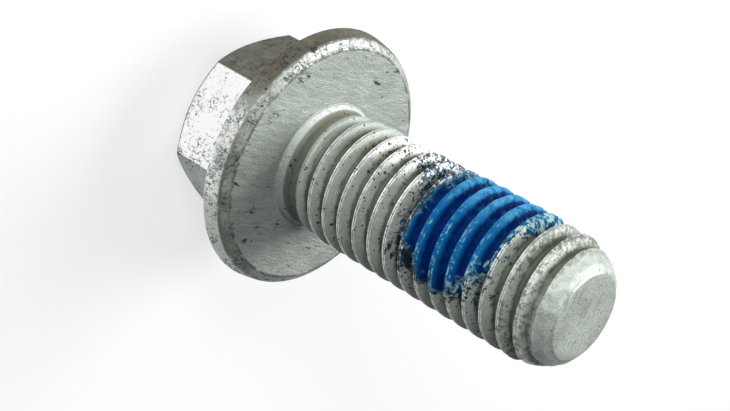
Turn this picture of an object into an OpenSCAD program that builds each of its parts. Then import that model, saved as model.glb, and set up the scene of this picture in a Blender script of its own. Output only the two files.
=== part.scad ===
// Hex flange bolt with a locking patch on its thread.
// It stands on its head: +Z runs from the head to the thread's end, and z = 0 is the flange's bearing face.

/* [Head] */
// Width of the hexagon across its flats
across_flats = 12.85; // [12.6:0.05:13]
// Width of the hexagon across its rounded corners
across_corners = 14.7; // [14.2:0.02:14.8]
// Height from the bearing face to the head's top
head_height = 9; // [8.6:0.1:9.7]
// Angle of the chamfer round the head's top
top_angle = 36; // [25:1:40]
// How far down the corners that chamfer reaches
top_drop = 0.95; // [0.6:0.05:1.1]

/* [Flange] */
// Width of the flat bearing face
face_d = 18.5; // [18:0.1:19]
// Width of the flange where the bevel ends
bevel_d = 19.9; // [19.6:0.1:20]
// How far behind the bearing face the bevel ends
bevel_drop = 0.55; // [0.4:0.05:0.8]
// Greatest width of the flange
flange_d = 20.34; // [20.1:0.02:20.8]
// How far behind the bearing face the flange is widest
rim_drop = 1.7; // [1.5:0.05:2]
// Rounding from the rim to the flange's back
back_round = 0.3; // [0.2:0.05:0.5]
// Slope of the flange's back
back_angle = 25; // [15:1:30]

/* [Shank] */
// Length from the bearing face to the end
shank_length = 25; // [20:0.5:40]
// Width of the plain neck under the flange
neck_d = 8.8; // [8.5:0.05:9]
// Length of the plain neck between the collar and the first crest
neck_length = 0.25; // [0.2:0.05:0.6]
// Width of the collar round the neck, at the bearing face
collar_d = 9.8; // [9.5:0.05:10.2]
// Width of the collar at its top
collar_top_d = 9.2; // [9.1:0.05:9.4]
// Height of the collar
collar_height = 0.5; // [0.3:0.05:0.7]
// Width of the flat end
end_d = 6.52; // [6:0.02:7]
// Length of the steep chamfer at the end
end_chamfer = 0.9; // [0.6:0.05:1.2]
// Width of the thread where the steep chamfer begins
lead_d = 8.4; // [8:0.1:8.8]
// Length over which the last threads taper, up to the end
lead_length = 2.5; // [2:0.1:3.5]

/* [Thread] */
// Width over the thread's crests
thread_d = 9.78; // [9.7:0.01:9.96]
// Advance of the thread in one turn
pitch = 1.5; // [1.25:0.25:1.5]
// Width over the first crest, which is only half formed
first_crest_d = 9.2; // [9.1:0.05:9.5]
// Length over which the first crest rises from the neck
first_rise = 0.45; // [0.3:0.05:0.6]
// Length over which the next crests grow to full width
crest_growth = 2.6; // [1.5:0.1:3.5]
// Flat left on each crest
crest_flat = 0.27; // [0.24:0.01:0.3]
// Depth of the rolled groove
groove_depth = 0.8; // [0.6:0.02:0.82]
// Where the groove is first at full depth, counted from the neck's end
groove_start = 2; // [1.8:0.05:2.3]
// Part of a turn over which the groove deepens from the neck
run_in = 240; // [120:10:300]
// How much wider the groove is beside the neck
neck_cut = 0.2; // [0.1:0.05:0.25]

/* [Locking patch] */
// Distance of the patch's middle from the bearing face
patch_middle = 15.7; // [14:0.1:17]
// Length of the patch along the thread
patch_length = 7.6; // [6:0.1:9]
// Direction the patch faces, counted round from +X
patch_side = 216; // [0:5:355]
// Height of the patch over the crests
patch_rise = 0.12; // [0.08:0.01:0.18]
// Depth of the patch in the grooves
patch_fill = 0.3; // [0.2:0.02:0.4]
// How far the patch's corners are cut back
patch_corner = 2.2; // [1:0.1:2.5]

/* [Hidden] */
$fn = 72;
flank = tan(30);
thread_r = thread_d / 2;
root_r = thread_r - groove_depth;
corner_r = across_corners / 2;
top_r = corner_r - top_drop / tan(top_angle);
round_x = flange_d / 2 - back_round;
back_x = round_x + back_round * sin(back_angle);
back_z = -rim_drop - back_round * cos(back_angle);
core_r = neck_d / 2;
neck_clear = 0.03;
first_floor_r = core_r + neck_clear;
collar_z = collar_height + (collar_top_d - neck_d) / 2;
neck_z = collar_z + neck_length;
first_z = neck_z + first_rise;
core_z = back_z - (back_x - core_r) * tan(back_angle);
step = 10;
over = 0.15;
groove_zero = neck_z + groove_start;
first_half = groove_half(first_floor_r) + neck_cut;
groove_first = ceil((neck_z - first_half - groove_zero) / pitch * 360 / step) * step;
groove_limit = neck_z - neck_length / 2;
groove_end = (shank_length + pitch / 4 - groove_zero) / pitch * 360;
patch_turns = ceil(patch_length / pitch) + 2;
patch_half = 100;
crest_cover = crest_flat / 2 + patch_rise / 2;
valley_cover = pitch / 7;
steel = [0.66, 0.67, 0.64];
nylon = [0.02, 0.36, 0.68];

bolt();
locking_patch();

// The whole forged piece with its thread rolled in.
module bolt()
    color(steel)
    difference() {
        union() {
            hexagon();
            rotate_extrude() blank();
        }
        thread_groove(groove_first, groove_end);
    }

// The nylon layer: it follows the thread, and lies on it without a gap.
module locking_patch()
    color(nylon)
    difference() {
        intersection() {
            patch_layer();
            patch_outline();
        }
        threaded_core();
    }

// Hexagon with rounded corners and a chamfered top.
module hexagon()
    intersection() {
        translate([0, 0, -head_height])
            cylinder(h = head_height - rim_drop, d = across_flats / cos(30), $fn = 6);
        rotate_extrude()
            polygon([
                [0, -head_height],
                [top_r, -head_height],
                [corner_r, top_drop - head_height],
                [corner_r, -rim_drop],
                [0, -rim_drop]
            ]);
    }

// Half section of the flange, neck and unthreaded shank.
module blank() {
    translate([round_x, -rim_drop]) circle(r = back_round);
    polygon([
        [0, core_z],
        [core_r, core_z],
        [back_x, back_z],
        [round_x, -rim_drop],
        [flange_d / 2, -rim_drop],
        [bevel_d / 2, -bevel_drop],
        [face_d / 2, 0],
        [collar_d / 2, 0],
        [collar_top_d / 2, collar_height],
        [core_r, collar_z],
        [core_r, neck_z],
        [first_crest_d / 2, first_z],
        [thread_r, first_z + crest_growth],
        [thread_r, shank_length - lead_length],
        [lead_d / 2, shank_length - end_chamfer],
        [end_d / 2, shank_length],
        [0, shank_length]
    ]);
}

// Point of the thread's space at a turn angle, a radius and a distance along the axis from the groove's middle.
function on_turn(angle, r, along) =
    [r * cos(angle), r * sin(angle), groove_zero + pitch * angle / 360 + along];

// Half width of the groove at a radius.
function groove_half(r) = (pitch - crest_flat) / 2 - (thread_r - r) * flank;

// Radius of the groove's floor, which comes down from the neck where the thread runs in.
function floor_r(angle) =
    root_r + (first_floor_r - root_r) * max(0, min(1, -angle / run_in));

// Lower edge of the groove at a radius, kept clear of the collar.
function groove_low(angle, r) = max(-groove_half(r), groove_limit - groove_zero - pitch * angle / 360);

// Upper edge of the groove at a radius, which leaves the first crest narrow.
function groove_high(angle, r) = groove_half(r) + neck_cut * max(0, min(1, -2 * angle / run_in - 1));

// Four corners of the groove's section at a turn angle.
function groove_section(angle) =
    let (low = floor_r(angle), high = thread_r + over)
    [
        on_turn(angle, high, groove_low(angle, high)),
        on_turn(angle, low, groove_low(angle, low)),
        on_turn(angle, low, groove_high(angle, low)),
        on_turn(angle, high, groove_high(angle, high))
    ];

// Triangles of the skin between neighbouring sections of n points, closed at both ends by their own strips.
function skin(rows, n) =
    [
        for (j = [0 : rows - 2])
        for (i = [0 : n - 1])
        let (a = j * n + i, b = j * n + (i + 1) % n)
        each [[a, b + n, b], [a, a + n, b + n]]
    ];

// The helical groove as one body.
module thread_groove(from, to) {
    turns = [for (angle = [from : step : to]) angle];
    last = (len(turns) - 1) * 4;
    polyhedron(
        points = [for (angle = turns) each groove_section(angle)],
        faces = concat(
            skin(len(turns), 4),
            [[0, 1, 2], [0, 2, 3]],
            [[last + 2, last + 1, last], [last + 3, last + 2, last]]
        )
    );
}

// The thread alone, past both ends of the patch.
module threaded_core() {
    from = patch_middle - patch_length;
    difference() {
        translate([0, 0, from]) cylinder(h = 2 * patch_length, r = thread_r);
        thread_groove(
            floor((from - groove_zero) / pitch - 1) * 360,
            ceil((from + 2 * patch_length - groove_zero) / pitch + 1) * 360
        );
    }
}

// Outer profile of the patch over one turn, as a radius and a distance from the groove's middle.
function patch_turn(k) =
    [
        [root_r + patch_fill, k * pitch - valley_cover],
        [root_r + patch_fill, k * pitch + valley_cover],
        [thread_r + patch_rise, (k + 0.5) * pitch - crest_cover],
        [thread_r + patch_rise, (k + 0.5) * pitch + crest_cover]
    ];

// The layer round one side of the thread, before its outline is cut.
module patch_layer() {
    first = floor((patch_middle - groove_zero) / pitch - patch_side / 360 - patch_turns / 2);
    profile = [for (k = [first : first + patch_turns]) each patch_turn(k)];
    n = len(profile);
    turns = [for (angle = [patch_side - patch_half : step : patch_side + patch_half]) angle];
    last = (len(turns) - 1) * 2 * n;
    polyhedron(
        points = [
            for (angle = turns)
            each concat(
                [for (p = profile) on_turn(angle, root_r - over, p[1])],
                [for (i = [n - 1 : -1 : 0]) on_turn(angle, profile[i][0], profile[i][1])]
            )
        ],
        faces = concat(
            skin(len(turns), 2 * n),
            [for (i = [0 : n - 2]) each cap(i, 2 * n - 1 - i, 0)],
            [for (i = [0 : n - 2]) each cap(i, 2 * n - 1 - i, last)]
        )
    );
}

// Two triangles of an end strip between inner point i and outer point j, turned over at the far end.
function cap(i, j, last) =
    last == 0
        ? [[i, i + 1, j - 1], [i, j - 1, j]]
        : [[last + j - 1, last + i + 1, last + i], [last + j, last + j - 1, last + i]];

// Outline of the patch as seen from its own side, with its corners cut back.
module patch_outline() {
    wide = thread_r + 2 * patch_rise;
    long = patch_length / 2;
    translate([0, 0, patch_middle])
        rotate([90, 0, patch_side + 90])
            linear_extrude(height = wide)
                polygon([
                    [-wide, patch_corner - long],
                    [-wide + patch_corner / 2, -long],
                    [wide - patch_corner / 2, -long],
                    [wide, patch_corner - long],
                    [wide, long - patch_corner],
                    [wide - patch_corner / 2, long],
                    [-wide + patch_corner / 2, long],
                    [-wide, long - patch_corner]
                ]);
}
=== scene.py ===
"""Looks of a hex flange bolt with a blue locking patch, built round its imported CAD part."""

import math

import bmesh
import bpy
from bpy.props import FloatProperty, FloatVectorProperty, IntProperty, PointerProperty
from mathutils import Matrix, Vector, noise


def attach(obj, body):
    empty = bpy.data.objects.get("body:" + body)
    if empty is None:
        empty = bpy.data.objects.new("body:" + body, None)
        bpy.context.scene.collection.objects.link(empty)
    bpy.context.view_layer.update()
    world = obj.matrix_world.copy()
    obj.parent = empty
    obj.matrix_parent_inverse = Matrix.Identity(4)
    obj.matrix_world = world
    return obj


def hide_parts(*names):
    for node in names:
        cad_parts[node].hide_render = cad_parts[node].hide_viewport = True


bl_info = {
    "name": "Flange Bolt",
    "version": (1, 0, 0),
    "blender": (4, 5, 0),
    "location": "3D View > Sidebar > Flange Bolt",
    "description": "Builds a hex flange bolt with a locking patch on its thread, and a studio to see it in",
    "category": "Add Mesh",
}

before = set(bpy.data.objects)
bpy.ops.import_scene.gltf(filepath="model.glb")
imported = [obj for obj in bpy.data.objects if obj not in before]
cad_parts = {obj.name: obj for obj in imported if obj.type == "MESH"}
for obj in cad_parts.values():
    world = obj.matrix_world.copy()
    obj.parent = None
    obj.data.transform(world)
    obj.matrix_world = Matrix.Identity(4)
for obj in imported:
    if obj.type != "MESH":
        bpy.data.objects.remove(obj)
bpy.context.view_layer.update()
MM = 0.001
TURN = 2.0 * math.pi

# Directions round the bolt in degrees. Those called turned count from the photographed side,
# which lies PHOTO_SIDE before +X.
PHOTO_SIDE = 98.95
UPPER_SIDE = -70.0
WHITE_FLAT = 8.95
HEX_SIDE = 60.0

# Drop below the crest against distance from the crest's middle, over half a pitch.
# The rolled crest has two fine lips with a shallow seam between them.
RIDGE = (
    (0.00, 0.050), (0.04, 0.032), (0.075, 0.004), (0.11, 0.000), (0.15, 0.030),
    (0.20, 0.110), (0.30, 0.285), (0.41, 0.475), (0.52, 0.660), (0.60, 0.762),
    (0.67, 0.795), (0.75, 0.800),
)
GROOVE_DEPTH = RIDGE[-1][1]
# Room that the lips need over the crests, and the rounding where a crest is cut off.
LIP_ROOM = 0.02
CREST_BLEND = 0.05
# Lengths from the neck over which the first crest rises and the crests reach full width.
FIRST_RISE = 0.45
FULL_WIDTH = 3.05
# Degrees before the first groove at which it is at full depth, and how far over the neck it starts.
RUN_IN_LEAD = 110.0
NECK_CLEAR = 0.03
# Length of the tapered end, and its radii against distance from the end.
TAPER_LENGTH = 2.6
TAPER = ((-1.9, 4.64), (-0.95, 4.22), (-0.4, 3.8))
# Heights at which the head's rows end and the thread's rows begin, and what the end face takes off.
NECK_TOP = 0.86
THREAD_LOW = 0.955
END_TRIM = 0.05
SNAP = 0.01

# Columns of the head in one turn, and their directions in half a sixth of it, closest at a corner.
HEAD_STEPS = 180
COLUMNS = (0.0, 0.6, 1.2, 1.8, 2.2, 2.6, 3.1, 3.9, 5.2, 7.2, 10.0, 13.5, 17.5, 21.5, 25.75, 30.0)


# Settings

class BoltSizes(bpy.types.PropertyGroup):
    """Sizes of the forged and rolled bolt"""

    thread_width: FloatProperty(
        name="Thread width", description="Width over the crests", default=9.78 * MM, unit="LENGTH")
    pitch: FloatProperty(
        name="Pitch", description="Advance of the thread in one turn", default=1.5 * MM, unit="LENGTH")
    groove_zero: FloatProperty(
        name="First groove", description="Place of the first groove on the +X side",
        default=2.95 * MM, unit="LENGTH")
    run_in: FloatProperty(
        name="Run-in", description="Part of a turn over which the groove deepens",
        default=math.radians(240), subtype="ANGLE")
    length: FloatProperty(
        name="Length", description="From the bearing face to the end", default=25 * MM, unit="LENGTH")
    neck_width: FloatProperty(
        name="Neck width", description="Width of the plain neck", default=8.8 * MM, unit="LENGTH")
    neck_end: FloatProperty(
        name="Neck end", description="Where the first crest begins to rise", default=0.95 * MM, unit="LENGTH")
    first_crest: FloatProperty(
        name="First crest", description="Width over the half-formed first crest",
        default=9.2 * MM, unit="LENGTH")
    neck_cut: FloatProperty(
        name="Neck cut", description="How much wider the groove is beside the neck",
        default=0.2 * MM, unit="LENGTH")
    end_width: FloatProperty(
        name="End width", description="Width of the flat end", default=6.52 * MM, unit="LENGTH")
    flange_width: FloatProperty(
        name="Flange width", description="Greatest width of the flange", default=20.34 * MM, unit="LENGTH")
    face_width: FloatProperty(
        name="Face width", description="Width of the bearing face", default=18.5 * MM, unit="LENGTH")
    across_flats: FloatProperty(
        name="Across flats", description="Width of the hexagon", default=12.85 * MM, unit="LENGTH")
    across_corners: FloatProperty(
        name="Across corners", description="Width over the rounded corners", default=14.7 * MM, unit="LENGTH")
    head_height: FloatProperty(
        name="Head height", description="From the bearing face to the head's top",
        default=9.0 * MM, unit="LENGTH")
    steps: IntProperty(
        name="Steps", description="Steps of the thread in one turn", default=144, min=48, max=240)


class PatchSizes(bpy.types.PropertyGroup):
    """Sizes of the nylon locking patch"""

    side: FloatProperty(
        name="Side", description="Direction that the photographed side faces",
        default=math.radians(-PHOTO_SIDE), subtype="ANGLE")
    rise: FloatProperty(
        name="Rise", description="Height over the crests", default=0.10 * MM, unit="LENGTH")
    fill: FloatProperty(
        name="Fill", description="Depth in the grooves", default=0.28 * MM, unit="LENGTH")
    ragged: FloatProperty(
        name="Ragged edge", description="How far the edge wanders", default=0.55 * MM, unit="LENGTH")


class BoltColours(bpy.types.PropertyGroup):
    """Colours of the coat and of the patch"""

    coat: FloatVectorProperty(
        name="Coat", description="Zinc-flake coat",
        default=(0.46, 0.51, 0.465), subtype="COLOR", min=0, max=1)
    speck: FloatVectorProperty(
        name="Specks", description="Dark specks in the coat",
        default=(0.035, 0.035, 0.035), subtype="COLOR", min=0, max=1)
    glare: FloatVectorProperty(
        name="Glare", description="White of the brightest flat and the bevel",
        default=(0.97, 0.975, 0.97), subtype="COLOR", min=0, max=1)
    # Warmer brown of the blotches in the painted brown reflection on the head
    warm_brown_reflection: FloatVectorProperty(
        name="Rust", description="Warmer brown in the grime",
        default=(0.12, 0.085, 0.05), subtype="COLOR", min=0, max=1)
    # Dark colour of the painted shade in the grooves and on the neck, of the lines by the bevel, and of dirt and
    # stains
    painted_light_and_dirt: FloatVectorProperty(
        name="Film", description="Dark film in the grooves",
        default=(0.085, 0.09, 0.068), subtype="COLOR", min=0, max=1)
    olive: FloatVectorProperty(
        name="Olive", description="Thin olive shade on the flanks and the neck",
        default=(0.27, 0.265, 0.175), subtype="COLOR", min=0, max=1)
    smear: FloatVectorProperty(
        name="Smear", description="Thin teal smears beside the patch",
        default=(0.012, 0.12, 0.19), subtype="COLOR", min=0, max=1)
    dust: FloatVectorProperty(
        name="Dust", description="Blue dust beside the patch",
        default=(0.004, 0.024, 0.055), subtype="COLOR", min=0, max=1)
    # Colour of the painted brown reflection on one flat of the head, the rim above it and the bevel
    brown_reflection: FloatVectorProperty(
        name="Grime", description="Brown film on the head",
        default=(0.105, 0.102, 0.072), subtype="COLOR", min=0, max=1)
    crest_blue: FloatVectorProperty(
        name="Crest blue", description="Patch over the crests",
        default=(0.002, 0.115, 0.315), subtype="COLOR", min=0, max=1)
    valley_blue: FloatVectorProperty(
        name="Valley blue", description="Patch in the grooves",
        default=(0.0, 0.014, 0.105), subtype="COLOR", min=0, max=1)
    pale_blue: FloatVectorProperty(
        name="Pale blue", description="Sheen on the upper crests of the patch",
        default=(0.06, 0.31, 0.52), subtype="COLOR", min=0, max=1)
    # Pale flakes on the patch's edge, and painted highlights along its crests
    pale_flake_and_glint: FloatVectorProperty(
        name="Flakes", description="Pale flakes on the patch's crests and edge",
        default=(0.30, 0.50, 0.52), subtype="COLOR", min=0, max=1)


class StageSettings(bpy.types.PropertyGroup):
    """Floor, lamps and camera"""

    floor_colour: FloatVectorProperty(
        name="Floor", description="Pale floor", default=(0.88, 0.88, 0.88), subtype="COLOR", min=0, max=1)
    sky_bright: FloatProperty(
        name="Bright sky", description="Strength of the sky on the bright side",
        default=0.34, min=0, subtype="FACTOR")
    sky_dark: FloatProperty(
        name="Dark sky", description="Strength of the sky on the far side",
        default=0.07, min=0, subtype="FACTOR")
    lens: FloatProperty(
        name="Lens", description="Focal length of the camera", default=91.41, subtype="DISTANCE_CAMERA")


# Form of the thread

def share_of(x):
    """A number kept between 0 and 1."""
    return min(1.0, max(0.0, x))


def between(x, low, high):
    """Share of the way from low to high, smoothed at both ends."""
    t = share_of((x - low) / (high - low))
    return t * t * (3.0 - 2.0 * t)


def along(table, x):
    """Value of a table of points at x, straight between them."""
    if x <= table[0][0]:
        return table[0][1]
    for (a, u), (b, v) in zip(table, table[1:]):
        if x <= b:
            return u + (v - u) * (x - a) / (b - a)
    return table[-1][1]


def soft_least(a, b, blend):
    """The lesser of two values, rounded where they meet."""
    share = max(0.0, blend - abs(a - b)) / blend
    return min(a, b) - share * share * blend / 4.0


def rough(x, y, z, grain, seed):
    """Smooth seeded noise from -1 to 1 with lumps of about grain millimetres."""
    return noise.noise(Vector((x / grain + seed * 17.3, y / grain - seed * 5.1, z / grain + seed * 9.7)))


class Thread:
    """The rolled thread in millimetres: its radius at any direction and height."""

    def __init__(self, sizes):
        self.r = sizes.thread_width / MM / 2
        self.root = self.r - GROOVE_DEPTH
        self.pitch = sizes.pitch / MM
        self.zero = sizes.groove_zero / MM
        self.run_in = math.degrees(sizes.run_in)
        self.neck_r = sizes.neck_width / MM / 2
        self.neck_cut = sizes.neck_cut / MM
        self.length = sizes.length / MM
        self.end_r = sizes.end_width / MM / 2
        full = self.r + LIP_ROOM
        neck, first = sizes.neck_end / MM, sizes.first_crest / MM / 2
        self.growth = ((neck, self.neck_r), (neck + FIRST_RISE, first), (neck + FULL_WIDTH, full))
        taper = tuple((self.length + back, r) for back, r in TAPER)
        self.taper = ((self.length - TAPER_LENGTH, full), *taper, (self.length, self.end_r))

    def crest_offset(self, angle, z):
        """Distance along the axis from the nearest crest."""
        p = self.pitch
        return (z - self.zero - p * angle / TURN) % p - p / 2

    def envelope(self, z):
        """Greatest radius at a height: the crests that grow from the neck, and the tapered end."""
        return min(along(self.growth, z), along(self.taper, z))

    def radius(self, angle, z):
        """Radius of the bare thread, whose first groove comes down out of the neck."""
        off = self.crest_offset(angle, z)
        groove = z - off + (self.pitch / 2 if off > 0 else -self.pitch / 2)
        swept = (groove - self.zero) / self.pitch * 360.0
        early = share_of((-swept - RUN_IN_LEAD) / self.run_in)
        floor = self.root + (self.neck_r + NECK_CLEAR - self.root) * early
        widened = self.neck_cut * share_of(2.0 * early - 1.0) if off < 0 else 0.0
        ridge = max(self.r - along(RIDGE, abs(off) + widened), floor)
        return soft_least(ridge, self.envelope(z), CREST_BLEND)


def polar(co):
    """Radius, direction and height of a place, in millimetres and radians."""
    return math.hypot(co.x, co.y) / MM, math.atan2(co.y, co.x), co.z / MM


def place(v, r, angle, z):
    """Moves a vertex to a radius, direction and height."""
    v.co = (r * math.cos(angle) * MM, r * math.sin(angle) * MM, z * MM)


def chain(bm, points):
    """Open chain of edges through points (r, z) on the +X side."""
    verts = [bm.verts.new((r * MM, 0.0, z * MM)) for r, z in points]
    edges = [bm.edges.new(pair) for pair in zip(verts, verts[1:])]
    return verts + edges


def rounded(points, steps=3):
    """Chain of points (r, z, rounding) with each corner replaced by an arc."""
    out = []
    for i, (x, y, round_r) in enumerate(points):
        if not round_r or i in (0, len(points) - 1):
            out.append((x, y))
            continue
        here = Vector((x, y))
        back = (Vector(points[i - 1][:2]) - here).normalized()
        on = (Vector(points[i + 1][:2]) - here).normalized()
        half = back.angle(on) / 2
        reach = round_r / math.tan(half)
        centre = here + (back + on).normalized() * (round_r / math.sin(half))
        first, last = here + back * reach - centre, here + on * reach - centre
        turn = first.angle_signed(last)
        for k in range(steps + 1):
            p = Matrix.Rotation(-turn * k / steps, 2) @ first + centre
            out.append((p.x, p.y))
    return out


def finish_mesh(bm, name, sharp):
    """Turns a closed bmesh into a smooth object with sharp edges over an angle, at the origin."""
    bmesh.ops.recalc_face_normals(bm, faces=bm.faces)
    for face in bm.faces:
        face.smooth = True
    for edge in bm.edges:
        edge.smooth = edge.calc_face_angle(0.0) < math.radians(sharp)
    mesh = bpy.data.meshes.new(name)
    bm.to_mesh(mesh)
    bm.free()
    piece = bpy.data.objects.new(name, mesh)
    bpy.context.collection.objects.link(piece)
    return piece


# Form of the head

class Head:
    """The hexagon, flange and neck in millimetres, as rows of a turned shape."""

    CHAMFER = math.tan(math.radians(36.0))
    TOP_DROP = 0.95
    CORNER_BLEND = 0.06
    # The flange's back: its slope, and where it ends below and inside the rim
    BACK = math.tan(math.radians(25.0))
    BACK_Z = -1.972
    BACK_IN = 0.173
    # The fillet between the hexagon and the flange's back
    SKIRT_DROP = 0.18
    SKIRT_REACH = 0.4

    def __init__(self, sizes):
        self.flat = sizes.across_flats / MM / 2
        self.corner = sizes.across_corners / MM / 2
        self.top = -sizes.head_height / MM
        self.top_r = self.corner - self.TOP_DROP / self.CHAMFER
        self.rim = sizes.flange_width / MM / 2
        self.face = sizes.face_width / MM / 2
        self.neck = sizes.neck_width / MM / 2

    def hex_r(self, angle):
        """Radius of the hexagon with its rounded corners; a corner points along +X."""
        sector = math.radians(HEX_SIDE)
        bend = angle % sector - sector / 2
        return soft_least(self.flat / math.cos(bend), self.corner, self.CORNER_BLEND)

    def back(self, r):
        """Height of the flange's sloping back at a radius."""
        return self.BACK_Z - (self.rim - self.BACK_IN - r) * self.BACK

    def rows(self):
        """Rows from the middle of the top to the neck: (r, z, kind, share).

        The hexagon's rows only stand apart here, and place_row puts them where they pass.
        """
        rows = [(r, self.top, "turned", 0) for r in (0.0, 2.0, 4.0, 5.4, self.top_r - 0.1)]
        rows += [(self.top_r + t, self.top + 0.01 + t, "chamfer", t) for t in (0.0, 0.06, 0.5, 0.94, 0.985)]
        rows += [(7.6 + t, -7.0 + t, "side", t) for t in (0.0, 0.012, 0.05, 0.35, 0.65, 0.92, 1.0)]
        rows += [(8.7 + t / 9, -5.5 + t, "skirt", t) for t in (0.03, 0.1, 0.22, self.SKIRT_REACH)]
        rows += [(r, self.back(r), "turned", 0) for r in (8.4, 9.2, 9.8)]
        rim = self.rim
        edge = rounded((
            (9.8, self.back(9.8), 0), (rim + 0.04, self.back(rim + 0.04), 0.25), (rim - 0.22, -0.55, 0.5),
            (self.face, 0.0, 0.25), (8.9, 0.0, 0), (7.8, 0.0, 0), (6.6, 0.0, 0), (5.6, 0.0, 0), (5.2, 0.0, 0),
            (4.93, 0.0, 0.12), (4.64, 0.45, 0.14), (self.neck, 0.72, 0.16), (self.neck, NECK_TOP, 0),
        ), 4)
        return rows + [(r, z, "turned", 0) for r, z in edge[1:]]

    def place_row(self, kind, share, angle, r, z):
        """Where a row passes at a direction."""
        hex_r = self.hex_r(angle)
        chamfer_end = self.top + (hex_r - self.top_r) * self.CHAMFER
        side_end = self.back(hex_r) - self.SKIRT_DROP
        if kind == "chamfer":
            return self.top_r + share * (hex_r - self.top_r), self.top + share * (chamfer_end - self.top)
        if kind == "side":
            return hex_r, chamfer_end + share * (side_end - chamfer_end)
        if kind == "skirt":
            sag = self.SKIRT_DROP * (1 - share / self.SKIRT_REACH) ** 2
            return hex_r + share, self.back(hex_r + share) - sag
        return r, z


def column_angle(angle):
    """Moves an evenly spaced direction of the head to its column, closest at the corners."""
    k = round((angle % TURN) / TURN * HEAD_STEPS) % HEAD_STEPS
    sixth, j = divmod(k, HEAD_STEPS // 6)
    half = len(COLUMNS) - 1
    inside = COLUMNS[j] if j <= half else HEX_SIDE - COLUMNS[2 * half - j]
    return math.radians(sixth * HEX_SIDE + inside)


def add_head(bm, sizes):
    """Spins the head's rows and presses the hexagon into them."""
    head = Head(sizes)
    rows = head.rows()
    geom = chain(bm, [(r, z) for r, z, _, _ in rows])
    bmesh.ops.spin(
        bm, geom=geom, cent=(0, 0, 0), axis=(0, 0, 1), angle=TURN, steps=HEAD_STEPS, use_merge=True,
    )
    bmesh.ops.remove_doubles(bm, verts=bm.verts, dist=0.0005 * MM)
    for v in bm.verts:
        r, angle, z = polar(v.co)
        if r < 0.01:
            continue
        _, _, kind, share = min(rows, key=lambda row: abs(row[0] - r) + abs(row[1] - z))
        angle = column_angle(angle)
        r, z = head.place_row(kind, share, angle, r, z)
        place(v, r, angle, z)


def uneven(r, angle, z):
    """Radius of the thread with its small unevenness, which is greater on the worn last threads."""
    x, y = r * math.cos(angle), r * math.sin(angle)
    rolled = 0.006 * rough(x, y, z, 0.35, 1) + 0.010 * rough(x, y, z, 1.6, 2)
    wear = 0.050 * rough(x, y, z, 0.6, 3) + 0.022 * rough(x, y, z, 0.25, 12)
    wear -= 0.090 * max(0.0, rough(x, y, z, 0.9, 4))
    return r + rolled + between(z, 19.5, 23.0) * wear


def add_thread(bm, thread, sizes):
    """Screws one pitch of the thread's profile up the shank and fits it between the neck and the end."""
    low, high = THREAD_LOW, thread.length - END_TRIM
    half = [d for d, _ in RIDGE]
    offs = [-d for d in reversed(half)] + half[1:]
    bottom = low - thread.pitch / 2
    start = bottom - (bottom - thread.zero - thread.pitch / 2) % thread.pitch
    points = [(thread.r, start + off) for off in offs]
    turns = math.ceil((high - start) / thread.pitch) + 2
    known = set(bm.verts)
    bmesh.ops.spin(
        bm, geom=chain(bm, points), cent=(0, 0, 0), axis=(0, 0, 1), angle=TURN,
        steps=sizes.steps, dvec=(0, 0, sizes.pitch / sizes.steps),
    )
    first = [f for f in bm.faces if not known.intersection(f.verts)]
    for k in range(1, turns):
        copy = bmesh.ops.duplicate(bm, geom=first)["geom"]
        verts = [v for v in copy if isinstance(v, bmesh.types.BMVert)]
        bmesh.ops.translate(bm, verts=verts, vec=(0, 0, k * sizes.pitch))
    fresh = [v for v in bm.verts if v not in known]
    step = TURN / sizes.steps
    for v in fresh:
        _, angle, z = polar(v.co)
        angle = round(angle / step) * step
        z = low if z < low + SNAP else high if z > high - SNAP else z
        place(v, thread.neck_r if z <= low else uneven(thread.radius(angle, z), angle, z), angle, z)
    bmesh.ops.remove_doubles(bm, verts=fresh, dist=0.004 * MM)
    return high


def ring_at(bm, z):
    """Open edges that lie at a height, away from the axis."""
    def on_ring(v):
        return abs(v.co.z - z * MM) < 0.002 * MM and math.hypot(v.co.x, v.co.y) > MM

    return [e for e in bm.edges if e.is_boundary and all(on_ring(v) for v in e.verts)]


def close_end(bm, thread, high):
    """Draws the open end of the thread in to a crisp edge and a flat, slightly uneven end face."""
    end, end_r = round(thread.length, 3), thread.end_r
    ring = ring_at(bm, high)
    for r, z in ((end_r - 0.005, end - 0.01), (end_r - 0.05, end), (2.6, end), (1.7, end), (0.8, end)):
        out = bmesh.ops.extrude_edge_only(bm, edges=ring)["geom"]
        ring = [e for e in out if isinstance(e, bmesh.types.BMEdge) and e.is_boundary]
        for v in {v for e in ring for v in e.verts}:
            _, angle, _ = polar(v.co)
            x, y = r * math.cos(angle), r * math.sin(angle)
            place(v, r + 0.03 * rough(x, y, z, 0.7, 5), angle, z - 0.012 * abs(rough(x, y, z, 1.4, 6)))
    bmesh.ops.edgeloop_fill(bm, edges=ring)


class FLANGE_BOLT_OT_bolt(bpy.types.Operator):
    """Builds the forged bolt with its rolled thread and coats it"""

    bl_idname = "flange_bolt.bolt"
    bl_label = "Bolt"

    def execute(self, context):
        sizes = context.scene.bolt_sizes
        thread = Thread(sizes)
        bm = bmesh.new()
        add_head(bm, sizes)
        high = add_thread(bm, thread, sizes)
        neck = ring_at(bm, NECK_TOP) + ring_at(bm, THREAD_LOW)
        if len(neck) != HEAD_STEPS + sizes.steps:
            raise RuntimeError("the neck's two rings aren't whole: %d edges" % len(neck))
        bmesh.ops.bridge_loops(bm, edges=neck)
        close_end(bm, thread, high)
        bolt = finish_mesh(bm, "coated_bolt", 32)
        bolt.data.materials.append(zinc_coat(context.scene.bolt_colours, thread, Head(sizes)))
        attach(bolt, "root")
        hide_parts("bolt")
        return {"FINISHED"}


# Form of the patch

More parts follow.
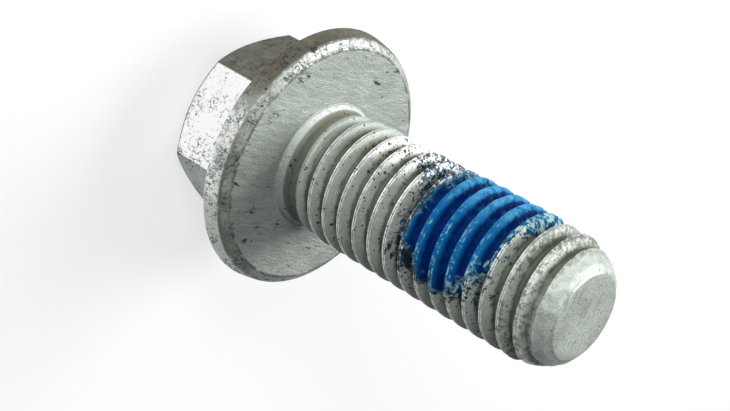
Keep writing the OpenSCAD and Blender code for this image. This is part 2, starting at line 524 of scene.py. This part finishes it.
# Lower edge of the patch, as a turned direction against height, and its far edge in the same way.
PATCH_LOW = (
    (11.8, 20), (12.3, 28), (13.8, 46), (15.3, 58), (16.8, 55), (18.3, 33), (19.3, 6), (20.0, -32), (20.6, -70),
)
PATCH_FAR = (
    (11.8, -88), (12.6, -112), (13.8, -126), (15.6, -133), (17.4, -130), (18.8, -118), (19.8, -98), (20.5, -80),
)
# Heights at which the patch ends.
PATCH_ENDS = (11.9, 20.4)
# The sheet that it is cut from: first turned direction, degrees, steps and rows, lowest height and length.
SHEET_FROM = -142.0
SHEET_SPAN = 205.0
SHEET_STEPS = 176
SHEET_ROWS = 168
SHEET_LOW = 11.2
SHEET_LENGTH = 9.8
# Faces farther outside the ragged edge than this are cut away, and the rest gets this thickness.
CUT_OUTSIDE = -0.12
PATCH_WALL = 0.12
# How far the patch's edge sinks into the thread, and the least layer over it.
EDGE_SINK = 0.06
LEAST_LAYER = 0.05
CREST_HALF = 0.13


def cover(turned, z, thread, ragged):
    """How far a point lies inside the patch's ragged outline, in millimetres."""
    arc = thread.r * TURN / 360.0
    x, y = turned * arc, z
    fingers = 0.55 * rough(0.3 * x, y, 0.0, 0.3, 14)
    inside = min(
        z - PATCH_ENDS[0],
        PATCH_ENDS[1] - z,
        (along(PATCH_LOW, z) - turned) * arc * 0.8 + fingers,
        (turned - along(PATCH_FAR, z)) * arc * 0.8 + fingers,
    )
    wander = 0.7 * rough(x, y, 0.0, 0.9, 7) + 0.6 * rough(x, y, 0.0, 0.33, 8) + 0.35 * rough(x, y, 0.0, 0.14, 9)
    off = abs(thread.crest_offset(math.radians(turned - PHOTO_SIDE), z))
    return inside + ragged * wander - 0.55 * between(off, 0.34, 0.10)


def patch_radius(angle, z, inside, thread, rise, fill):
    """Outer radius of the patch: thick in the grooves, thin on the crests, sinking at its edge."""
    off = abs(thread.crest_offset(angle, z))
    swell = 0.5 + 0.5 * math.cos(TURN * share_of((off - CREST_HALF) / (thread.pitch / 2 - CREST_HALF)) / 2)
    layer = thread.root + fill + (thread.r + rise - thread.root - fill) * swell
    bare = thread.radius(angle, z)
    layer = max(layer, bare + LEAST_LAYER)
    x, y = layer * math.cos(angle), layer * math.sin(angle)
    lump = 0.035 * rough(x, y, z, 0.6, 10) + 0.022 * rough(x, y, z, 0.24, 11)
    lump += 0.11 * between(inside, 1.6, 0.4) * between(z, 16.0, 18.0) * rough(x, y, z, 0.42, 13)
    full = between(inside, -0.15, 0.55)
    return bare - EDGE_SINK + (layer + lump - bare + EDGE_SINK) * full


class FLANGE_BOLT_OT_patch(bpy.types.Operator):
    """Builds the nylon layer on one side of the thread, with its ragged edge"""

    bl_idname = "flange_bolt.patch"
    bl_label = "Locking patch"

    def execute(self, context):
        sizes, patch = context.scene.bolt_sizes, context.scene.patch_sizes
        thread = Thread(sizes)
        rise, fill, ragged = patch.rise / MM, patch.fill / MM, patch.ragged / MM
        bm = bmesh.new()
        inside_layer = bm.verts.layers.float.new("cover")
        first, span = math.radians(SHEET_FROM), math.radians(SHEET_SPAN)
        low = SHEET_LOW + thread.pitch * first / TURN
        geom = chain(bm, [(thread.r, low + SHEET_LENGTH * k / SHEET_ROWS) for k in range(SHEET_ROWS + 1)])
        turn = Matrix.Rotation(patch.side + first, 3, "Z")
        bmesh.ops.rotate(bm, verts=bm.verts, cent=(0, 0, 0), matrix=turn)
        bmesh.ops.spin(
            bm, geom=geom, cent=(0, 0, 0), axis=(0, 0, 1), angle=span, steps=SHEET_STEPS,
            dvec=(0, 0, sizes.pitch * span / TURN / SHEET_STEPS),
        )
        for v in bm.verts:
            _, angle, z = polar(v.co)
            turned = math.degrees((angle - patch.side + math.pi) % TURN - math.pi)
            inside = cover(turned, z, thread, ragged)
            v[inside_layer] = inside
            place(v, patch_radius(angle, z, inside, thread, rise, fill), angle, z)
        bare = [f for f in bm.faces if max(v[inside_layer] for v in f.verts) < CUT_OUTSIDE]
        bmesh.ops.delete(bm, geom=bare, context="FACES")
        if not bm.faces:
            raise RuntimeError("the patch has no faces")
        bmesh.ops.recalc_face_normals(bm, faces=bm.faces)
        if sum(f.normal.dot(f.calc_center_median() * Vector((1, 1, 0))) for f in bm.faces) < 0:
            bmesh.ops.reverse_faces(bm, faces=bm.faces)
        bmesh.ops.solidify(bm, geom=bm.faces[:], thickness=PATCH_WALL * MM)
        nylon = finish_mesh(bm, "nylon_patch", 75)
        nylon.data.materials.append(patch_nylon(context.scene.bolt_colours, thread))
        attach(nylon, "root")
        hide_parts("locking_patch")
        return {"FINISHED"}


# Finishes

# Places of the plainest dark nicks, in millimetres: on the bearing face and on the rim.
FACE_NICKS = (
    (-6.1, -6.6, 0.0), (-5.6, -6.8, 0.0), (-6.0, -6.1, 0.0), (-2.1, -7.9, 0.0), (-2.5, -7.6, 0.0),
    (4.6, -5.5, 0.0), (5.8, -4.1, 0.0), (6.9, -4.8, 0.0), (5.2, -1.9, 0.0),
)
RIM_NICKS = ((-7.92, -6.05, -0.5),)


class Nodes:
    """Short calls for the nodes of one material."""

    def __init__(self, name):
        self.material = bpy.data.materials.new(name)
        self.material.use_nodes = True
        self.tree = self.material.node_tree
        self.shader = self.tree.nodes["Principled BSDF"]

    def add(self, kind, **settings):
        """A new node with its settings."""
        node = self.tree.nodes.new(kind)
        for key, value in settings.items():
            setattr(node, key, value)
        return node

    def link(self, a, b):
        """Links an output, or sets a number or colour, to an input."""
        if isinstance(a, bpy.types.NodeSocket):
            self.tree.links.new(a, b)
        elif isinstance(a, (int, float)):
            b.default_value = a
        else:
            b.default_value = (*a, 1.0)

    def math(self, operation, a, b=0.0, c=0.0, clamp=False):
        node = self.add("ShaderNodeMath", operation=operation, use_clamp=clamp)
        for value, socket in zip((a, b, c), node.inputs):
            self.link(value, socket)
        return node.outputs[0]

    def plus(self, a, b):
        return self.math("ADD", a, b)

    def less(self, a, b):
        return self.math("SUBTRACT", a, b)

    def times(self, first, *others):
        """Product of masks and shares."""
        for other in others:
            first = self.math("MULTIPLY", first, other)
        return first

    def most(self, first, *others):
        """Greatest of masks and shares."""
        for other in others:
            first = self.math("MAXIMUM", first, other)
        return first

    def ramp(self, value, low, high, out_low=0.0, out_high=1.0):
        """Smooth change from out_low to out_high while a value goes from low to high."""
        node = self.add("ShaderNodeMapRange", interpolation_type="SMOOTHSTEP", clamp=True)
        self.link(value, node.inputs["Value"])
        for key, number in (("From Min", low), ("From Max", high), ("To Min", out_low), ("To Max", out_high)):
            self.link(number, node.inputs[key])
        return node.outputs[0]

    def fade(self, value, low, high):
        """Smooth fall from one to nothing while a value goes from low to high."""
        return self.ramp(value, low, high, 1.0, 0.0)

    def band(self, value, middle, inner, outer, strength=1.0):
        """Strength within inner of a middle value, and nothing past outer."""
        return self.ramp(self.math("ABSOLUTE", self.less(value, middle)), inner, outer, strength, 0.0)

    def span(self, value, low, full, keep, high):
        """One from full to keep, fading to nothing at low and high."""
        return self.times(self.ramp(value, low, full), self.fade(value, keep, high))

    def mix(self, share, a, b):
        """Colour a, with a share of colour b over it."""
        node = self.add("ShaderNodeMix", data_type="RGBA")
        self.link(share, node.inputs[0])
        self.link(a, node.inputs[6])
        self.link(b, node.inputs[7])
        return node.outputs[2]

    def lay(self, share, paint):
        """Lays a share of a colour over the finish so far."""
        self.colour = self.mix(share, self.colour, paint)

    def put(self, key, value):
        """Links or sets an input of the shader."""
        self.link(value, self.shader.inputs[key])


class BoltNodes(Nodes):
    """Nodes of a finish on the bolt, which know the places on it in millimetres and degrees."""

    def __init__(self, name, thread):
        super().__init__(name)
        scale = self.add("ShaderNodeVectorMath", operation="SCALE")
        self.link(self.add("ShaderNodeTexCoord").outputs["Object"], scale.inputs[0])
        scale.inputs["Scale"].default_value = 1.0 / MM
        self.mm = scale.outputs[0]
        x, y, self.z = self.axes(self.lie(math.radians(PHOTO_SIDE)))
        self.r = self.math("SQRT", self.plus(self.times(x, x), self.times(y, y)))
        self.turned = self.times(self.math("ARCTAN2", y, x), 360.0 / TURN)
        # Height followed back round the helix, and the distance from the nearest crest's middle
        lead = self.times(self.less(self.turned, PHOTO_SIDE), thread.pitch / 360.0)
        self.level = self.less(self.z, lead)
        climb = self.math("FRACT", self.math("DIVIDE", self.less(self.level, thread.zero), thread.pitch))
        self.off = self.times(self.math("ABSOLUTE", self.less(climb, 0.5)), thread.pitch)

    def lie(self, angle, stretch=(1.0, 1.0, 1.0)):
        """Object coordinates in millimetres, turned about the bolt's axis and stretched."""
        node = self.add("ShaderNodeMapping")
        self.link(self.mm, node.inputs["Vector"])
        node.inputs["Rotation"].default_value = (0.0, 0.0, angle)
        node.inputs["Scale"].default_value = stretch
        return node.outputs[0]

    def axes(self, vector):
        node = self.add("ShaderNodeSeparateXYZ")
        self.link(vector, node.inputs[0])
        return node.outputs[0], node.outputs[1], node.outputs[2]

    def away_from(self, direction):
        """Degrees from a turned direction, the same from both ways round."""
        away = self.math("ABSOLUTE", self.less(self.turned, direction))
        return self.math("MINIMUM", away, self.less(360.0, away))

    def noise(self, scale, detail, rough, vector=None, warp=0.0):
        node = self.add("ShaderNodeTexNoise")
        self.link(vector or self.mm, node.inputs["Vector"])
        settings = (("Scale", scale), ("Detail", detail), ("Roughness", rough), ("Distortion", warp))
        for key, value in settings:
            node.inputs[key].default_value = value
        return node.outputs["Fac"]

    def blotch(self, scale, detail, rough, low, high, out_low=0.0, out_high=1.0):
        """Blotches of noise, from out_low where it is under low to out_high where it is over high."""
        return self.ramp(self.noise(scale, detail, rough), low, high, out_low, out_high)

    def bump(self, height, strength, distance, normal=None):
        node = self.add("ShaderNodeBump")
        node.inputs["Strength"].default_value = strength
        node.inputs["Distance"].default_value = distance * MM
        self.link(height, node.inputs["Height"])
        if normal:
            self.link(normal, node.inputs["Normal"])
        return node.outputs[0]

    def spots(self, places, size):
        """Ragged spots round places in millimetres."""
        tatter = self.blotch(2.4, 4.0, 0.7, 0.25, 0.75, -0.28, 0.28)
        found = 0.0
        for place_mm in places:
            gap = self.add("ShaderNodeVectorMath", operation="DISTANCE")
            self.link(self.mm, gap.inputs[0])
            gap.inputs[1].default_value = place_mm
            spot = self.fade(self.plus(gap.outputs["Value"], tatter), size * 0.5, size)
            found = self.most(found, spot)
        return found

    def pits(self, scale, share, size):
        """Round pits in a share of the cells round scattered places."""
        node = self.add("ShaderNodeTexVoronoi")
        self.link(self.mm, node.inputs["Vector"])
        node.inputs["Scale"].default_value = scale
        pick, wide, _ = self.axes(node.outputs["Color"])
        kept = self.ramp(self.less(share, pick), 0.0, 0.02)
        reach = self.math("MULTIPLY_ADD", wide, size, size * 0.5)
        return self.times(kept, self.ramp(self.less(reach, node.outputs["Distance"]), 0.0, size * 0.4))


def zinc_coat(colours, thread, form):
    """Matte zinc-flake coat: streaks on the face, dark specks, painted highlights, a painted brown reflection on
    the head, painted shade in the grooves, and blue dust by the patch.
    """
    n = BoltNodes("zinc_flake_coat", thread)
    z, r, turned, off = n.z, n.r, n.turned, n.off
    away = n.away_from(UPPER_SIDE)

    def shade(k):
        """The coat's own colour, lighter or darker."""
        return tuple(min(1.0, c * k) for c in colours.coat)

    # Places on the bolt
    head = n.fade(z, -0.75, -0.55)
    hexagon = n.times(head, n.fade(r, 7.6, 8.2))
    white_flat = n.times(hexagon, n.band(turned, WHITE_FLAT, 29.4, 30.2))
    brown_flat = n.times(hexagon, n.band(turned, WHITE_FLAT - HEX_SIDE, 29.4, 30.2))
    rim = n.times(n.fade(z, -0.62, -0.48), n.ramp(r, 8.3, 9.0))
    bevel = n.times(n.ramp(r, 9.2, 9.3), n.ramp(z, -0.50, -0.38))
    on_face = n.times(n.band(z, 0.0, 0.03, 0.12), n.ramp(r, 4.9, 5.2))
    shank = n.ramp(z, 0.1, 0.6)
    threaded = n.span(z, 1.9, 2.5, 23.2, 24.0)
    worn = n.span(z, 20.2, 21.6, 23.6, 24.3)
    end = n.ramp(z, 24.9, 24.97)

    # Clouds and grain of the bare coat, brighter on the shank and most at the end's chamfer
    grain = n.noise(7.0, 3.0, 0.65)
    n.colour = n.mix(n.blotch(0.35, 4.0, 0.6, 0.3, 0.7), shade(0.88), shade(1.06))
    n.lay(n.ramp(grain, 0.3, 0.66, 0.5, 0.0), shade(0.5))
    n.lay(n.ramp(grain, 0.5, 0.75, 0.0, 0.5), shade(1.5))
    bright = n.times(shank, n.ramp(z, 22.5, 23.6, 0.13, 0.24), n.ramp(z, 24.8, 24.97, 1.0, 0.1))
    n.lay(bright, shade(1.6))

    # Fine streaks across the bearing face, with short dark nicks
    across_face = n.lie(math.radians(36.4), (2.4, 0.6, 1.0))
    streak = n.noise(1.0, 4.0, 0.62, across_face, 0.5)
    n.lay(n.times(on_face, n.ramp(streak, 0.36, 0.64, 0.38, 0.0)), shade(0.5))
    nick = n.ramp(n.noise(0.62, 3.0, 0.6, across_face, 0.8), 0.685, 0.72)
    plain_nicks = n.ramp(n.noise(2.3, 4.0, 0.7, across_face), 0.50, 0.56)
    nick = n.most(nick, n.times(n.spots(FACE_NICKS, 0.42), plain_nicks))

    # White glare on one flat, the rim beside it, part of the bevel and the top of the collar
    patchy = n.noise(0.8, 5.0, 0.7, None, 0.4)
    lit = n.times(
        bevel, n.span(turned, -118.0, -82.0, -30.0, -14.0), n.blotch(1.9, 5.0, 0.75, 0.40, 0.58, 0.12, 0.78))
    rim_glare = n.times(rim, n.band(turned, 17.0, 14.0, 26.0, 0.9), n.blotch(1.3, 6.0, 0.78, 0.40, 0.54))
    collar = n.times(
        n.span(z, 0.06, 0.14, 0.40, 0.48), n.fade(r, 5.3, 5.6),
        n.ramp(turned, -12.0, -45.0), n.blotch(1.7, 5.0, 0.7, 0.36, 0.54, 0.35, 0.85))
    glare = n.most(white_flat, lit, rim_glare)
    n.lay(n.most(glare, collar), colours.glare)

    # Dark line along the top's chamfer, and painted light that brightens the rim on its lower side
    chamfer_z = n.math("MULTIPLY_ADD", r, form.CHAMFER, form.top - form.top_r * form.CHAMFER)
    outline = n.times(hexagon, n.band(z, chamfer_z, 0.05, 0.15, 0.8))
    n.lay(n.times(outline, n.ramp(patchy, 0.3, 0.5, 0.6, 1.0)), shade(0.28))
    # Painted light: the rim brighter on its lower side
    n.lay(n.times(rim, n.band(turned, 72.0, 30.0, 55.0, 0.3)), shade(1.7))

    # Painted brown reflection on the flat and the rim above it, thinner along the rest of the bevel
    rim_brown_reflection = n.times(rim, n.span(turned, -150.0, -115.0, -22.0, 2.0))
    low_bevel = n.times(bevel, n.ramp(away, 36.0, 56.0, 0.0, 0.55), n.ramp(patchy, 0.35, 0.6, 0.2, 1.0))
    painted_light_and_dirt = n.times(n.most(brown_flat, rim_brown_reflection), n.ramp(patchy, 0.3, 0.55, 0.82, 1.0))
    n.lay(n.most(painted_light_and_dirt, low_bevel), colours.brown_reflection)
    # Warmer blotches in the painted brown reflection
    warm_brown_reflection = n.times(painted_light_and_dirt, n.blotch(0.55, 4.0, 0.6, 0.48, 0.66, 0.0, 0.55))
    n.lay(warm_brown_reflection, colours.warm_brown_reflection)

    # Olive-tinted painted shade on the flanks towards the grooves, and on the upper neck
    wander = n.plus(off, n.blotch(1.5, 4.0, 0.65, 0.3, 0.7, -0.045, 0.045))
    olive_flank_shade = n.times(threaded, n.ramp(wander, 0.22, 0.50, 0.0, 0.72), n.ramp(away, 85.0, 30.0, 0.3, 1.0))
    below_crest = n.fade(n.less(z, n.times(turned, thread.pitch / 360.0)), 1.52, 1.70)
    neck = n.most(n.times(below_crest, n.ramp(turned, 165.0, 115.0)), n.fade(z, 0.85, 1.05))
    neck = n.times(neck, n.ramp(z, 0.42, 0.6))
    upper_neck = n.times(neck, n.ramp(away, 95.0, 45.0, 0.0, 0.85))
    n.lay(n.most(olive_flank_shade, upper_neck), colours.olive)

    # Painted shade in the grooves and on the lower neck, and dark lines on both sides of the bevel
    deep = n.times(threaded, n.ramp(wander, 0.42, 0.58, 0.0, 0.95))
    # Painted shade on the neck, darker away from the upper side
    low_neck = n.times(neck, n.ramp(away, 20.0, 80.0, 0.30, 0.80))
    inner = n.times(n.band(r, 9.2, 0.05, 0.15, 0.8), n.ramp(z, -0.3, -0.1))
    outer = n.times(n.band(z, -0.52, 0.05, 0.14, 0.7), n.ramp(r, 9.3, 9.6))
    line = n.times(n.most(inner, outer), n.blotch(0.9, 5.0, 0.7, 0.40, 0.54))
    n.lay(n.most(deep, low_neck, line), colours.painted_light_and_dirt)

    # Painted highlights on both lips of the crests' seam, and painted light on top of the crests before the patch
    lips = n.times(n.band(off, 0.085, 0.025, 0.06), threaded)
    fresh = n.times(n.ramp(away, 8.0, 45.0, 0.25, 1.0), n.ramp(z, 18.5, 20.5, 1.0, 0.4))
    # Painted highlights, broken, on the crests' lips
    lip_glint = n.times(lips, fresh, n.blotch(2.0, 5.0, 0.75, 0.43, 0.57, 0.05, 1.0))
    n.lay(lip_glint, colours.glare)
    # Painted light on the tops of the crests on the upper side
    upper_crest_light = n.times(
        n.ramp(away, 58.0, 28.0), n.fade(off, 0.34, 0.5), n.span(z, 4.5, 7.0, 11.0, 12.5),
        n.blotch(1.6, 5.0, 0.7, 0.35, 0.53, 0.15, 0.9))
    n.lay(upper_crest_light, colours.glare)

    # Crumbs of dirt on the worn last threads, and bright metal on their crests
    crumb = n.noise(2.8, 4.0, 0.7)
    dirt = n.ramp(n.less(crumb, n.ramp(away, 70.0, 25.0, 0.0, 0.055)), 0.40, 0.50, 0.7, 0.0)
    n.lay(n.times(worn, dirt), colours.painted_light_and_dirt)
    metal = n.times(worn, n.fade(off, 0.2, 0.4), n.ramp(crumb, 0.52, 0.64, 0.0, 0.3))
    n.lay(metal, colours.glare)

    # Stains, a painted highlight along part of the edge, and scratches on the end
    cloudy = n.noise(0.8, 4.0, 0.65, n.lie(0.4, (1.0, 0.45, 0.8)))
    n.lay(n.times(n.ramp(z, 23.2, 24.2), n.ramp(cloudy, 0.48, 0.66, 0.0, 0.2)), colours.painted_light_and_dirt)
    # Painted highlight along part of the end's edge
    edge = n.times(end, n.band(r, thread.end_r - 0.02, 0.03, 0.08), n.band(turned, -47.0, 18.0, 32.0))
    n.lay(edge, colours.glare)
    across, beside, _ = n.axes(n.mm)
    scratch = n.times(n.band(beside, -0.18, 0.025, 0.075), n.band(across, -0.58, 0.6, 0.75))
    n.lay(n.times(scratch, end, n.ramp(crumb, 0.4, 0.5, 0.4, 0.85)), shade(0.4))
    scored = n.noise(1.1, 3.0, 0.6, n.lie(math.radians(-12.0), (0.8, 3.6, 1.0)), 0.3)
    n.lay(n.times(n.ramp(scored, 0.57, 0.65, 0.0, 0.6), end), shade(0.4))
    # Painted shade in the seam between the crests' lips
    seam = n.times(threaded, fresh, n.ramp(off, 0.02, 0.045, 0.7, 0.0))
    n.lay(seam, shade(0.3))

    # Small round pits, thick on the upper crests before the patch
    top = n.times(n.ramp(away, 85.0, 20.0), n.span(z, 4.0, 7.5, 11.5, 14.0))
    share = n.plus(n.times(top, 0.95), n.times(shank, n.blotch(0.5, 2.0, 0.55, 0.4, 0.65, 0.03, 0.20)))
    share = n.times(share, n.ramp(z, 18.0, 21.0, 1.0, 0.15))
    pits = n.most(n.pits(2.1, n.plus(share, 0.01), 0.23), n.pits(4.2, n.plus(share, 0.03), 0.30))

    # Scratchy dark marks on the hexagon and the rim
    mark = n.noise(4.2, 5.0, 0.72, n.lie(0.6, (1.0, 0.55, 0.7)), 1.1)
    thick = n.times(n.blotch(0.42, 3.0, 0.55, 0.36, 0.62), 0.09)
    thick = n.plus(thick, n.less(n.times(rim, 0.016), n.times(white_flat, 0.014)))
    marks = n.times(n.most(head, bevel), n.ramp(n.plus(mark, thick), 0.60, 0.66))
    speck = n.most(pits, n.times(marks, 0.85), n.times(nick, on_face), n.spots(RIM_NICKS, 0.38))
    n.lay(n.times(speck, 0.96), colours.speck)

    # Blue dust from the patch on the threads round it, in flecks that follow the helix
    left = n.ramp(turned, -20.0, -58.0, 10.2, 7.5)
    near = n.times(n.ramp(n.less(z, left), 0.0, 2.0), n.fade(z, 19.2, 21.8))
    near = n.times(near, n.span(turned, -150.0, -120.0, 35.0, 70.0))
    near = n.times(near, n.ramp(z, 16.5, 18.5, 0.215, 0.14), n.ramp(away, 50.0, 25.0, 1.0, 0.74))
    helix = n.add("ShaderNodeCombineXYZ")
    for value, socket in zip((n.times(turned, 0.05), n.times(n.level, 2.4), r), helix.inputs):
        n.link(value, socket)
    flecks = n.times(n.noise(2.5, 4.0, 0.72, None, 0.5), 0.7)
    flecks = n.plus(flecks, n.times(n.noise(1.5, 4.0, 0.68, helix.outputs[0]), 0.3))
    dust = n.ramp(n.plus(flecks, near), 0.63, 0.67)
    tint = n.mix(n.blotch(2.0, 3.0, 0.55, 0.50, 0.64), colours.dust, colours.smear)
    n.lay(n.times(dust, 0.92), tint)

    n.put("Base Color", n.colour)
    metallic = n.most(n.math("MULTIPLY_ADD", glare, 0.5, 0.42), n.times(dust, 0.95))
    n.put("Metallic", metallic)
    soft = n.plus(n.ramp(grain, 0.3, 0.7, 0.44, 0.60), n.times(speck, 0.2))
    n.put("Roughness", n.less(soft, n.times(n.most(lip_glint, glare), 0.14)))
    skin = n.bump(grain, 0.8, 0.05, n.bump(n.noise(1.1, 3.0, 0.5), 0.3, 0.10))
    skin = n.bump(n.times(on_face, streak), 0.6, 0.12, skin)
    n.put("Normal", n.bump(n.times(speck, -1.0), 0.6, 0.05, skin))
    return n.material


def patch_nylon(colours, thread):
    """Melted blue nylon: pale on the crests, deep in the grooves, frayed and whitish at its edge."""
    n = BoltNodes("blue_nylon", thread)
    z, turned, off = n.z, n.turned, n.off
    mottle = n.noise(1.5, 4.0, 0.65)
    fine = n.noise(2.4, 4.0, 0.68)
    grit = n.noise(1.9, 4.0, 0.62, None, 0.3)

    # Deep blue in the grooves and lighter on the crests, with painted shade on the lower side and a painted sky
    # reflection on the upper crests
    height = n.ramp(n.r, thread.r - 0.27, thread.r + 0.11)
    height = n.math("ADD", height, n.ramp(mottle, 0.3, 0.7, -0.16, 0.16), 0.0, True)
    n.colour = n.mix(height, colours.valley_blue, colours.crest_blue)
    # Painted shade on the lower side
    n.lay(n.ramp(turned, 5.0, 55.0, 0.0, 0.6), colours.valley_blue)
    # Painted sky reflection on the upper crests
    sky = n.times(n.ramp(turned, -15.0, -60.0), n.ramp(mottle, 0.35, 0.6, 0.2, 1.0))
    n.lay(n.times(sky, height), colours.pale_blue)

    # Painted highlights on lumps, on the crests' tops and in broken pale lines along the crests, and dark pocks
    # on the upper side
    lumps = n.times(n.ramp(height, 0.20, 0.42), n.ramp(height, 0.55, 0.85, 1.0, 0.1), n.ramp(turned, -5.0, -35.0))
    glint = n.most(n.ramp(height, 0.80, 1.0, 0.0, 0.6), lumps)
    n.lay(n.times(glint, n.ramp(fine, 0.50, 0.74, 0.0, 0.75)), colours.pale_blue)
    # Painted highlights in broken pale lines along the crests' lips
    lip_glint = n.times(n.band(off, 0.11, 0.03, 0.10), n.ramp(turned, -35.0, 10.0, 0.3, 1.0))
    n.lay(n.times(lip_glint, n.ramp(fine, 0.47, 0.62, 0.0, 0.7)), colours.pale_flake_and_glint)
    pocks = n.ramp(n.noise(1.3, 3.0, 0.6, None, 0.5), 0.36, 0.42, 0.85, 0.0)
    n.lay(n.times(n.ramp(turned, 0.0, -25.0), pocks, n.ramp(off, 0.12, 0.24)), colours.dust)

    # Dark, then thin, then frayed and whitish towards the edge
    edge = n.add("ShaderNodeAttribute", attribute_name="cover").outputs["Fac"]
    dark = n.times(n.fade(edge, 0.1, 1.2), n.ramp(grit, 0.40, 0.52, 0.9, 0.0))
    n.lay(dark, colours.dust)
    thin = n.times(n.ramp(edge, 0.1, 0.9, 0.8, 0.0), n.ramp(fine, 0.42, 0.56))
    n.lay(thin, colours.smear)
    wide = n.ramp(z, 15.5, 17.5, 0.8, 1.5)
    fray = n.times(n.ramp(n.less(wide, edge), 0.0, 0.6), n.ramp(grit, 0.46, 0.56))
    n.lay(n.times(n.ramp(z, 16.0, 18.0, 0.6, 1.0), fray, 0.9), colours.pale_flake_and_glint)

    n.put("Base Color", n.colour)
    n.put("Roughness", n.ramp(mottle, 0.3, 0.7, 0.42, 0.60))
    n.put("IOR", 1.53)
    n.put("Specular IOR Level", 0.03)
    n.put("Normal", n.bump(grit, 0.5, 0.06, n.bump(mottle, 0.6, 0.12)))
    return n.material


# Stage

FLOOR_RADIUS = 1.2
# How much of the floor shows plain white to the camera; the rest keeps the shadow.
FLOOR_WHITE = 0.7
SKY_TINT = (0.97, 0.98, 1.0, 1.0)
# Soft lamps: name, watts, width and place, all aimed at the same place on the bolt.
LAMPS = (
    ("key_lamp", 0.92, 0.16, (-0.135, 0.126, 0.237)),
    ("front_lamp", 0.62, 0.10, (-0.165, -0.24, 0.158)),
)
LAMP_AIM = (0, 0, 0.008)
# The photograph's camera: its place, and the directions of its right and upper sides.
CAMERA_AT = (-0.017189, -0.109146, 0.081862)
CAMERA_RIGHT = (-0.41913, 0.56868, 0.70777)
CAMERA_UP = (-0.89779, -0.14346, -0.41640)


def floor_paint(colour):
    """Pale floor that shows nearly white to the camera and in reflections, and keeps the shadow."""
    n = Nodes("pale_floor")
    n.put("Base Color", colour)
    n.put("Roughness", 0.9)
    n.put("Specular IOR Level", 0.1)
    path = n.add("ShaderNodeLightPath").outputs
    seen = n.most(
        path["Is Glossy Ray"], path["Is Transmission Ray"], n.times(path["Is Camera Ray"], FLOOR_WHITE))
    white = n.add("ShaderNodeEmission")
    blend = n.add("ShaderNodeMixShader")
    n.link(seen, blend.inputs[0])
    n.link(n.shader.outputs[0], blend.inputs[1])
    n.link(white.outputs[0], blend.inputs[2])
    n.link(blend.outputs[0], n.tree.nodes["Material Output"].inputs["Surface"])
    return n.material


def soft_lamp(name, power, size, at):
    """Square soft lamp that points at the bolt."""
    lamp = bpy.data.lights.new(name, "AREA")
    lamp.energy = power
    lamp.shape = "SQUARE"
    lamp.size = size
    holder = bpy.data.objects.new(name, lamp)
    holder.location = at
    holder.rotation_euler = (Vector(LAMP_AIM) - Vector(at)).to_track_quat("-Z", "Y").to_euler()
    bpy.context.collection.objects.link(holder)


def studio_sky(bright, dark):
    """Plain sky that is brighter on one side of the bolt."""
    world = bpy.data.worlds.new("studio_sky")
    world.use_nodes = True
    tree = world.node_tree
    side = tree.nodes.new("ShaderNodeSeparateXYZ")
    tree.links.new(tree.nodes.new("ShaderNodeTexCoord").outputs["Generated"], side.inputs[0])
    fade = tree.nodes.new("ShaderNodeMapRange")
    for key, value in (("From Min", -0.7), ("From Max", 0.7), ("To Min", bright), ("To Max", dark)):
        fade.inputs[key].default_value = value
    tree.links.new(side.outputs["X"], fade.inputs["Value"])
    tree.links.new(fade.outputs[0], tree.nodes["Background"].inputs["Strength"])
    tree.nodes["Background"].inputs["Color"].default_value = SKY_TINT
    return world


class FLANGE_BOLT_OT_stage(bpy.types.Operator):
    """Builds the floor, the lamps, the sky and the camera"""

    bl_idname = "flange_bolt.stage"
    bl_label = "Stage"

    def execute(self, context):
        scene, stage = context.scene, context.scene.stage_settings
        bm = bmesh.new()
        bmesh.ops.create_circle(bm, cap_ends=True, segments=96, radius=FLOOR_RADIUS)
        bmesh.ops.translate(bm, verts=bm.verts, vec=(0, 0, -scene.bolt_sizes.head_height))
        floor = finish_mesh(bm, "floor", 30)
        floor.data.materials.append(floor_paint(stage.floor_colour))

        for lamp in LAMPS:
            soft_lamp(*lamp)
        scene.world = studio_sky(stage.sky_bright, stage.sky_dark)
        scene.view_settings.view_transform = "Standard"

        camera = bpy.data.cameras.new("camera")
        camera.sensor_width = 36.0
        camera.lens = stage.lens
        camera.clip_start = 0.005
        holder = bpy.data.objects.new("camera", camera)
        right, up = Vector(CAMERA_RIGHT), Vector(CAMERA_UP)
        turn = Matrix((right, up, right.cross(up).normalized())).transposed().to_4x4()
        holder.matrix_world = Matrix.Translation(CAMERA_AT) @ turn
        context.collection.objects.link(holder)
        scene.camera = holder
        return {"FINISHED"}


# Panel and registration

class FLANGE_BOLT_PT_panel(bpy.types.Panel):
    """Lists the pieces and their settings in the sidebar"""

    bl_label = "Flange Bolt"
    bl_idname = "FLANGE_BOLT_PT_panel"
    bl_space_type = "VIEW_3D"
    bl_region_type = "UI"
    bl_category = "Flange Bolt"

    def draw(self, context):
        for operator in OPERATORS:
            self.layout.operator(operator.bl_idname)
        for name in SETTINGS:
            box = self.layout.box()
            group = getattr(context.scene, name)
            for key in group.bl_rna.properties.keys():
                if key not in ("rna_type", "name"):
                    box.prop(group, key)


OPERATORS = (FLANGE_BOLT_OT_bolt, FLANGE_BOLT_OT_patch, FLANGE_BOLT_OT_stage)
SETTINGS = {
    "bolt_sizes": BoltSizes,
    "patch_sizes": PatchSizes,
    "bolt_colours": BoltColours,
    "stage_settings": StageSettings,
}
CLASSES = (*SETTINGS.values(), *OPERATORS, FLANGE_BOLT_PT_panel)


def register():
    for kind in CLASSES:
        bpy.utils.register_class(kind)
    for name, group in SETTINGS.items():
        setattr(bpy.types.Scene, name, PointerProperty(type=group))


def unregister():
    for name in SETTINGS:
        delattr(bpy.types.Scene, name)
    for kind in reversed(CLASSES):
        bpy.utils.unregister_class(kind)


def main():
    register()
    bpy.ops.flange_bolt.bolt()
    bpy.ops.flange_bolt.patch()
    bpy.ops.flange_bolt.stage()


if __name__ == "__main__":
    main()
